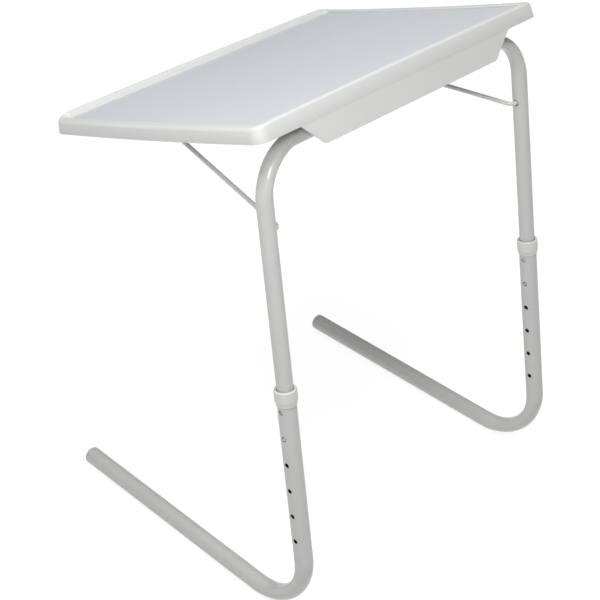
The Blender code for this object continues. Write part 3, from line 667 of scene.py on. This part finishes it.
def build_button(side, word):
    """Domed snap button in a height hole."""
    shoulder = BUTTON_TIP - 1.5
    profile = [(4.0, BUTTON_FLANGE - 1.2), (4.1, BUTTON_FLANGE - 1.1), (4.1, BUTTON_FLANGE)]
    profile += [(BUTTON_RADIUS, BUTTON_FLANGE), (BUTTON_RADIUS, shoulder)]
    for k in range(1, 10):
        angle = math.radians(10 * k)
        dome = max(BUTTON_RADIUS * math.cos(angle) ** 0.8, 0.2)
        profile.append((dome, shoulder + 1.5 * math.sin(angle)))
    verts, faces = lathe_solid(profile, 40)
    button = make_object(f"button_{word}", verts, faces, button_matrix(side))
    return finish_piece(button, button_steel, f"button_{word}", [f"snap_button_{word}"])


def build_button_spring(side, word):
    """V-shaped leaf inside the upright: its front arm lies under the button, its back arm against the
    far wall.
    """
    thickness = 0.5
    front = BUTTON_FLANGE - 1.5
    rear = FRAME_OD / 2 - FRAME_WALL - 0.65
    outside = [(-5.0, front), (0.0, front), (6.0, front), (20.0, 0.5 * (front + 1.6)), (34.0, 1.6)]
    outside += arc(34.0, 0.0, 1.6, 80, -80, 16)
    outside += [(34.0, -1.6), (8.0, -rear), (-7.0, -rear)]
    inside = [(-7.0, thickness - rear), (8.2, thickness - rear), (33.8, -1.1)]
    inside += arc(34.0, 0.0, 1.1, -80, 80, 16)
    inside += [(33.8, 1.1), (20.0, 0.5 * (front + 1.6) - thickness), (6.0, front - thickness)]
    inside += [(0.0, front - thickness), (-5.0, front - thickness)]
    verts, faces = prism(outside + inside, -2.4, 2.4, 'y')
    place = button_matrix(side)
    spring = make_object(f"leaf_spring_{word}", [(-a, b, c) for a, b, c in verts], faces, place)
    spring.data.materials.append(spring_steel)
    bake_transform(spring)
    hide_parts(f"button_spring_{word}")
    return spring


# ---------------------------------------------------------------- upper frame and wire

def build_upper_frame():
    """Upper frame: both uprights and the bar between them, one bent tube."""
    centre = bar_centre()
    corners = {side: leg_corner(side) + BAR_LEVEL * leg_up(side) - centre for side in (-1, 1)}
    ends = {side: leg_corner(side) + FRAME_END_LEVEL * leg_up(side) - centre for side in (-1, 1)}
    bar = Vector((1, 0, 0))
    tangent = UPPER_BEND_RADIUS * math.tan(bar.angle(-leg_up(1)) / 2)
    rings = straight_rings(ends[-1], corners[-1] - (tangent + 3) * leg_up(-1), leg_up(-1))
    rings += bend_rings(corners[-1], leg_up(-1), bar, UPPER_BEND_RADIUS, UPPER_BEND_FLATTENING, 44)
    half = len(rings)
    rings += bend_rings(corners[1], bar, -leg_up(1), UPPER_BEND_RADIUS, UPPER_BEND_FLATTENING, 44)
    rings += straight_rings(corners[1] - (tangent + 3) * leg_up(1), ends[1], -leg_up(1))
    left_normal = leg_up(-1).cross(bar).normalized()
    right_normal = bar.cross(-leg_up(1)).normalized()
    normals = [left_normal] * half + [right_normal] * (len(rings) - half)
    verts, faces = tube(rings, FRAME_OD / 2, FRAME_WALL, normals)
    tube_frame = make_object("frame_tube", verts, faces, Matrix.Translation(centre * MM))
    drills = []
    for side in (1, -1):
        inward = math.pi if side > 0 else 0.0
        upright = leg_matrix(side)
        drills.append(side_drill(upright, WIRE_LEVEL, inward, WIRE_HOLE_DIAMETER, FRAME_OD / 2))
        drills.append(side_drill(upright, BUTTON_LEVEL, HOLE_TURN, HOLE_DIAMETER, FRAME_OD / 2))
    cut(tube_frame, drills)
    return finish_piece(tube_frame, paint, "frame", ["upper_frame"])


def build_support_wire():
    """Support wire: two arms that hook into the uprights, and a crossbar."""
    pivot_x = (leg_corner(1) + WIRE_LEVEL * leg_up(1)).x
    end = Vector((pivot_x - 4.0, 0, 0))
    elbow = Vector((pivot_x - FRAME_OD / 2 - 7.5, 0, 0))
    corner = Vector((WIRE_HALF_CROSSBAR, -WIRE_REACH, 0))
    arm = (corner - elbow).normalized()
    inward = Vector((-1, 0, 0))
    half = [(end, inward, 0.0)]
    half += bend_rings(elbow, inward, arm, WIRE_ELBOW_RADIUS, 0.0, 16)
    half += bend_rings(corner, arm, inward, 16.0, 0.0, 20)
    rings = list(half)
    for centre, direction, _ in half[::-1]:
        mirrored = Vector((-centre.x, centre.y, centre.z))
        rings.append((mirrored, Vector((direction.x, -direction.y, 0)), 0.0))
    verts, faces = rod(rings, WIRE_DIAMETER / 2, [Vector((0, 0, 1))] * len(rings), 32)
    place = Matrix.Translation(wire_centre() * MM) @ Matrix.Rotation(WIRE_DROP, 4, 'X')
    wire = make_object("prop_wire", verts, faces, place)
    round_edges(wire, 0.6, 3, 50.0)
    return finish_piece(wire, wire_paint, "wire", ["support_wire"])


# ---------------------------------------------------------------- tray

CORNER_SIGNS = ((1, 1), (-1, 1), (-1, -1), (1, -1))
LONG_STATIONS = tuple(340.0 - 10.0 * k for k in range(34))
SHORT_STATIONS = (243.0, 240.0, 236.0, 231.0, 225.0, 216.0, 204.0,
                  190.0, 170.0, 145.0, 110.0, 70.0, 35.0, 0.0)


def tray_loop(half_width, front, back, corner):
    """Rounded rectangle as (x, t) points, with stations along all four sides."""
    across = list(SHORT_STATIONS) + [-x for x in SHORT_STATIONS[-2::-1]]
    points = []
    for sx, st in CORNER_SIGNS:
        cx = sx * (half_width - corner)
        edge = front if st > 0 else back
        ct = edge - st * corner
        start = math.degrees(math.atan2(st, sx)) - 45.0
        points += arc(cx, ct, corner, start, start + 90, CORNER_STEPS)
        if sx == st:
            points += [(sx * x, edge) for x in across]
        else:
            points += [(cx + sx * corner, t) for t in LONG_STATIONS[::st]]
    return points


def lip_share(distance):
    """Share of the lip height at a distance from the middle, measured round the corner."""
    return 1.0 - smooth_step((distance - LIP_FALL_START) / (LIP_FALL_END - LIP_FALL_START))


def lip_loop():
    """Lip top and its share for every point of a tray loop."""
    bend_start = TRAY_HALF_WIDTH - TRAY_CORNER
    ridge_corner = TRAY_CORNER - LIP_ROUNDING - 2.2
    straight = list(SHORT_STATIONS) + list(SHORT_STATIONS[-2::-1])
    around = [bend_start + ridge_corner * math.radians(90 * k / CORNER_STEPS)
              for k in range(CORNER_STEPS + 1)]
    values = []
    for sx, st in CORNER_SIGNS:
        top = FRONT_LIP_TOP if st > 0 else BACK_LIP_TOP
        distances = around[::-1] + straight if sx == st else around
        for distance in distances:
            crown = LIP_CROWN * (min(distance, bend_start) / bend_start) ** 2
            values.append((top - crown, lip_share(distance)))
        if sx != st:
            values += [(top, 0.0)] * len(LONG_STATIONS)
    return values


def wave(settings, t):
    """Gentle bow of the long sides: height added at a distance t from the bar."""
    base, amount, centre, half = settings
    return base + amount * ((t - centre) / half) ** 2


def wall_section(shoulder, rounding, edge):
    """Outside of the rim up to its rounded top, as (inset, height); edge sizes the lower edge."""
    start = TRAY_WALL_LEAN * (shoulder - TRAY_BOTTOM)
    points = [(edge, TRAY_BOTTOM), (0.3 * edge, TRAY_BOTTOM + 0.2 * edge)]
    points += [(0.0, TRAY_BOTTOM + 0.85 * edge), (0.93 * start, shoulder - 0.9)]
    return points + [(start + rounding - a, b) for a, b in arc(0, shoulder, rounding, 0, 90, 10)]


def side_section():
    """Outer cross-section of the long sides, from the lower edge to the deck."""
    edge = TRAY_HALF_WIDTH - PANEL_HALF_WIDTH
    points = wall_section(SIDE_TOP - SIDE_ROUNDING, SIDE_ROUNDING, 0.9) + [(edge - 4.0, SIDE_TOP)]
    points += [(edge - 1.8 + a, b) for a, b in arc(0, SIDE_TOP - 1.8, 1.8, 90, 0, 8)]
    return points + [(edge, PANEL_TOP - 0.3), (edge, DECK_TOP)]


def lip_section(top):
    """Outer cross-section of the front or back lip, point for point beside side_section()."""
    points = wall_section(top - LIP_ROUNDING, LIP_ROUNDING, 0.35)
    crest = points[-1][0]
    points += [(crest + a, b) for a, b in arc(0, top - LIP_CREST, LIP_CREST, 79, 35, 4)]
    edge = TRAY_FRONT - PANEL_FRONT
    points += [(edge - 1.3, PANEL_TOP + 2.3), (edge - 1.0, PANEL_TOP + 1.6)]
    points += [(edge - 0.65, PANEL_TOP + 1.05), (edge - 0.3, PANEL_TOP + 0.65), (edge, PANEL_TOP + 0.4)]
    return points + [(edge, PANEL_TOP - 0.3), (edge, DECK_TOP)]


def side_hollow():
    """Cross-section of the hollow under the long sides, from the deck out to the lower edge."""
    roof = SIDE_TOP - TRAY_WALL - 0.1
    wall = TRAY_WALL
    points = [(14.6, DECK_BOTTOM), (14.2, DECK_BOTTOM + 0.3), (13.6, roof - 0.5), (13.1, roof)]
    points += [(wall + 3.0, roof), (wall + 2.2, roof - 0.4), (wall + 1.7, roof - 1.5)]
    return points + [(wall + 0.6, TRAY_BOTTOM + 0.4), (wall + 0.2, TRAY_BOTTOM)]


def lip_hollow(top):
    """Cross-section of the hollow under a lip, point for point beside side_hollow()."""
    wall = TRAY_WALL
    points = [(11.6, DECK_BOTTOM), (11.2, DECK_BOTTOM + 0.3), (10.8, 29.2), (10.5, 29.9)]
    points += [(6.9, top - 3.4), (6.0, top - 3.6), (5.4, top - 4.2)]
    return points + [(wall + 0.6, TRAY_BOTTOM + 0.4), (wall + 0.2, TRAY_BOTTOM)]


def build_tray_shell():
    """Tray moulding: rim, lips and deck, hollow below, in rows of points from inside to outside."""
    outer = side_section()
    corners = [5.6, 6.0, 6.4, 6.9, 11.0, 11.8, 12.4, 13.6, 14.0]
    corners += [TRAY_CORNER - inset for inset, _ in outer[:15]] + [9.5]
    corners += [5.5 + 1.8 * (1 - math.sin(math.radians(90 * k / 8))) for k in range(9)] + [5.5, 5.5]
    waved = (False,) * 2 + (True,) * 5 + (False,) * 5 + (True,) * 22 + (False,) * 2
    low_edge = (7, 8, 9, 10, 11)
    lips = lip_loop()
    verts = []
    levels = zip(side_hollow() + outer, lip_hollow(FRONT_LIP_TOP) + lip_section(FRONT_LIP_TOP), corners)
    for level, ((side_inset, side_height), (end_inset, _), corner) in enumerate(levels):
        loop = tray_loop(TRAY_HALF_WIDTH - side_inset, TRAY_FRONT - end_inset,
                         TRAY_BACK + end_inset, corner)
        for (x, t), (top, share) in zip(loop, lips):
            end_height = (lip_hollow(top) + lip_section(top))[level][1]
            low = wave(SIDE_BOTTOM_WAVE, t) if level in low_edge else 0.0
            high = wave(SIDE_TOP_WAVE, t) if waved[level] else 0.0
            height = side_height + high + share * (end_height - side_height - high)
            verts.append((x, -t, height + low))
    shell = make_object("tray", verts, capped_rings(len(corners), len(lips)), tray_matrix(), 40.0)
    return finish_piece(shell, white, "table", ["table_top"])


def slab(rectangles, low, high):
    """Flat body over the union of (x0, x1, t0, t1) rectangles."""
    xs = sorted({value for r in rectangles for value in r[:2]})
    ts = sorted({value for r in rectangles for value in r[2:]})

    def solid(i, j):
        """Says whether a cell of the grid lies in a rectangle."""
        if not (0 <= i < len(xs) - 1 and 0 <= j < len(ts) - 1):
            return False
        x = (xs[i] + xs[i + 1]) / 2
        t = (ts[j] + ts[j + 1]) / 2
        return any(r[0] < x < r[1] and r[2] < t < r[3] for r in rectangles)

    index = {}
    verts = []

    def corner(i, j, top):
        """Number of the point at a corner of the grid, made once."""
        key = (i, j, top)
        if key not in index:
            index[key] = len(verts)
            verts.append((xs[i], -ts[j], high if top else low))
        return index[key]

    faces = []
    for i in range(len(xs) - 1):
        for j in range(len(ts) - 1):
            if not solid(i, j):
                continue
            square = ((i, j), (i + 1, j), (i + 1, j + 1), (i, j + 1))
            for top in (0, 1):
                faces.append(tuple(corner(a, b, top) for a, b in square))
            beyond = (solid(i, j - 1), solid(i + 1, j), solid(i, j + 1), solid(i - 1, j))
            for k, filled in enumerate(beyond):
                if not filled:
                    (a, b), (c, d) = square[k], square[(k + 1) % 4]
                    faces.append((corner(a, b, 0), corner(c, d, 0),
                                  corner(c, d, 1), corner(a, b, 1)))
    return verts, faces


def rib_rectangles():
    """Plan of the ribs under the deck."""
    half = RIB_HALF_THICKNESS
    ribs = []
    for x in (-200.0, -145.0, -50.0, 0.0, 50.0, 145.0, 200.0):
        ribs.append((x - half, x + half, 34.0, 176.0))
    for t in (34.9, 82.0, 129.0, 175.1):
        ribs.append((-200.0 - half, 200.0 + half, t - half, t + half))
    for x in (-145.0, -50.0, 0.0, 50.0, 145.0):
        ribs.append((x - half, x + half, 244.0, 336.0))
    ribs.append((-145.0 - half, 145.0 + half, 334.2, 336.0))
    return ribs


def build_tray_underside():
    """Ribs, saddles over the bar and screw bosses under the deck."""
    verts, faces = slab(rib_rectangles(), DECK_BOTTOM - RIB_HEIGHT, DECK_BOTTOM + ROOT_DEPTH)
    ribs = make_object("tray_ribs", verts, faces, tray_matrix())
    round_edges(ribs, 0.35, 2)
    finish_piece(ribs, white, "table", ())
    for side, word in ((1, "right"), (-1, "left")):
        low = 0.8
        angle = math.degrees(math.asin(low / BEARING_RADIUS))
        deep = SADDLE_HALF_DEPTH
        outline = [(-deep, low), (-deep, 14.0), (3.5 - deep, DECK_BOTTOM + ROOT_DEPTH)]
        outline += [(deep - 3.5, DECK_BOTTOM + ROOT_DEPTH), (deep, 14.0), (deep, low)]
        outline += arc(0, 0, BEARING_RADIUS, angle, 180 - angle, 32)
        verts, faces = prism([(-t, h) for t, h in outline], -SADDLE_WIDTH / 2, SADDLE_WIDTH / 2, 'x')
        saddle = make_object(f"tray_saddle_{word}", verts, faces, tray_matrix(side * SADDLE_X))
        round_edges(saddle, 0.4, 2, 50.0)
        finish_piece(saddle, white, "table", ())
        for end, t in (("back", RACK_SCREWS_T[0]), ("front", RACK_SCREWS_T[1])):
            shank = SCREW_SHANK / 2
            profile = [(shank + 0.15, DECK_BOTTOM - 2.0), (shank + 0.15, BOSS_BOTTOM + 0.3)]
            profile += [(shank + 0.45, BOSS_BOTTOM), (3.9, BOSS_BOTTOM), (4.2, BOSS_BOTTOM + 0.3)]
            profile += [(4.6, DECK_BOTTOM - 1.0), (5.6, DECK_BOTTOM + ROOT_DEPTH)]
            verts, faces = lathe_ring(profile, 40)
            boss = make_object(f"tray_boss_{word}_{end}", verts, faces, tray_matrix(side * RACK_X, t))
            finish_piece(boss, white, "table", ())


def build_apron():
    """Apron that hangs from the back wall of the tray and hides the bar."""
    right = [(203.5, 16.2), (203.5, 14.9), (200.5, 14.9)]
    right += arc(200.5, 7.4, 7.5, 90, 135, 12)[1:]
    right += arc(160.0, APRON_BOTTOM + 9.0, 9.0, -45, -90, 12)
    outline = right + [(-x, h) for x, h in right[::-1]]
    verts, faces = prism(outline, -APRON_OUTER - APRON_THICKNESS, -APRON_OUTER, 'y')
    apron = make_object("tray_apron", verts, faces, tray_matrix(), 50.0)
    round_edges(apron, 0.6, 4, 50.0)
    return finish_piece(apron, white, "table", ())


def build_surface_sheet():
    """Grey writing surface with a fine rounded edge, set into the tray."""
    low = DECK_TOP + 0.3 - PANEL_TOP
    verts = []
    levels = ((0.4, low), (0.1, low + 0.1), (0.06, -0.3), (0.12, -0.1),
              (0.25, -0.02), (0.45, 0.0), (4.0, 0.0))
    for inset, height in levels:
        loop = tray_loop(PANEL_HALF_WIDTH - inset, PANEL_FRONT - inset, PANEL_BACK + inset,
                         PANEL_CORNER - inset)
        verts += [(x, -t, height) for x, t in loop]
    faces = capped_rings(len(levels), len(verts) // len(levels))
    sheet = make_object("grey_surface", verts, faces, tray_matrix(0, 0, PANEL_TOP), 40.0)
    return finish_piece(sheet, grey_sheet, "table", ["surface_sheet"])


# ---------------------------------------------------------------- assembly

build_upper_frame()
build_support_wire()
build_tray_shell()
build_tray_underside()
build_apron()
build_surface_sheet()
for side, word in ((1, "right"), (-1, "left")):
    build_leg(side, word)
    build_foot_cap(side, word)
    build_collar(side, word)
    build_button(side, word)
    build_button_spring(side, word)

kept = {"pivot_clip": bracket_white, "notch_rack": bracket_white,
        "clip_screw": zinc, "rack_screw": zinc}
for name, node in nodes.items():
    for start, material in kept.items():
        if name.startswith(start):
            for material_slot in node.material_slots:
                material_slot.material = material
            if start in ("pivot_clip", "notch_rack"):
                round_edges(node, 0.3, 2, 40.0)

# ---------------------------------------------------------------- floor, light and camera

floor_mesh = bpy.data.meshes.new("floor")
bm = bmesh.new()
bmesh.ops.create_grid(bm, x_segments=8, y_segments=8, size=60.0)
bm.to_mesh(floor_mesh)
bm.free()
floor = bpy.data.objects.new("floor", floor_mesh)
scene.collection.objects.link(floor)
floor.location.z = -0.0002
floor_shade = Shading("floor_pale")
patches = floor_shade.noise(1.4, 2.0, 0.5)
pale = floor_shade.colours(patches, [(0.3, (0.19, 0.19, 0.19)), (0.7, (0.22, 0.22, 0.22))])
floor_shade.link(pale, floor_shade.shader.inputs["Base Color"])
floor_shade.shader.inputs["Emission Color"].default_value = (1.0, 1.0, 1.0, 1.0)
floor_shade.shader.inputs["Emission Strength"].default_value = 0.86
floor_shade.shader.inputs["Roughness"].default_value = 0.9
floor_shade.shader.inputs["Specular IOR Level"].default_value = 0.1
floor_mesh.materials.append(floor_shade.material)

scene.view_settings.view_transform = 'Standard'
scene.view_settings.look = 'None'
scene.view_settings.exposure = 0.0
scene.view_settings.gamma = 1.0

world = bpy.data.worlds.new("studio")
scene.world = world
world.use_nodes = True
tree = world.node_tree
background = tree.nodes["Background"]
background.inputs["Strength"].default_value = 0.55
direction = tree.nodes.new("ShaderNodeTexCoord")
height = tree.nodes.new("ShaderNodeSeparateXYZ")
dome = tree.nodes.new("ShaderNodeValToRGB")
dome.color_ramp.interpolation = 'EASE'
for element, (position, tone) in zip(dome.color_ramp.elements, ((0.0, 0.12), (0.75, 1.0))):
    element.position = position
    element.color = (tone, tone, tone, 1.0)
tree.links.new(direction.outputs["Generated"], height.inputs["Vector"])
tree.links.new(height.outputs["Z"], dome.inputs["Fac"])
tree.links.new(dome.outputs["Color"], background.inputs["Color"])
backdrop = tree.nodes.new("ShaderNodeBackground")
backdrop.inputs["Color"].default_value = (0.92, 0.92, 0.92, 1.0)
seen = tree.nodes.new("ShaderNodeLightPath")
either = tree.nodes.new("ShaderNodeMixShader")
tree.links.new(seen.outputs["Is Camera Ray"], either.inputs["Fac"])
tree.links.new(background.outputs["Background"], either.inputs[1])
tree.links.new(backdrop.outputs["Background"], either.inputs[2])
tree.links.new(either.outputs["Shader"], tree.nodes["World Output"].inputs["Surface"])


LIGHT_AIM = Vector((0.0, 0.05, 0.6))


def softbox(name, place, size, power):
    """Square area light aimed at the tray, not itself seen by the camera."""
    data = bpy.data.lights.new(name, 'AREA')
    data.size = size
    data.energy = power
    lamp = bpy.data.objects.new(name, data)
    scene.collection.objects.link(lamp)
    lamp.location = place
    lamp.visible_camera = False
    lamp.rotation_euler = (LIGHT_AIM - Vector(place)).to_track_quat('-Z', 'Y').to_euler()


softbox("key", (0.50, 0.29, 3.15), 1.2, 66.5)
softbox("fill", (0.95, 0.57, 1.30), 0.3, 8.4)

# Camera fitted to the photograph: its axes, its focal length in millimetres and its place in metres.
forward = Vector((-0.61931, -0.53034, -0.57896))
up = Vector((-0.38972, -0.43250, 0.81306))
right = Vector((-0.68160, 0.72917, 0.06117))
CAMERA_PLACE = (1.38176, 0.252321 + 0.9035, 1.55723)
camera_data = bpy.data.cameras.new("camera")
camera_data.sensor_width = 36.0
camera_data.lens = 93.70
camera_data.clip_start = 0.05
camera_data.clip_end = 30.0
camera = bpy.data.objects.new("camera", camera_data)
scene.collection.objects.link(camera)
rotation = Matrix((right, up, -forward)).transposed().to_4x4()
camera.matrix_world = Matrix.Translation(CAMERA_PLACE) @ rotation
scene.camera = camera
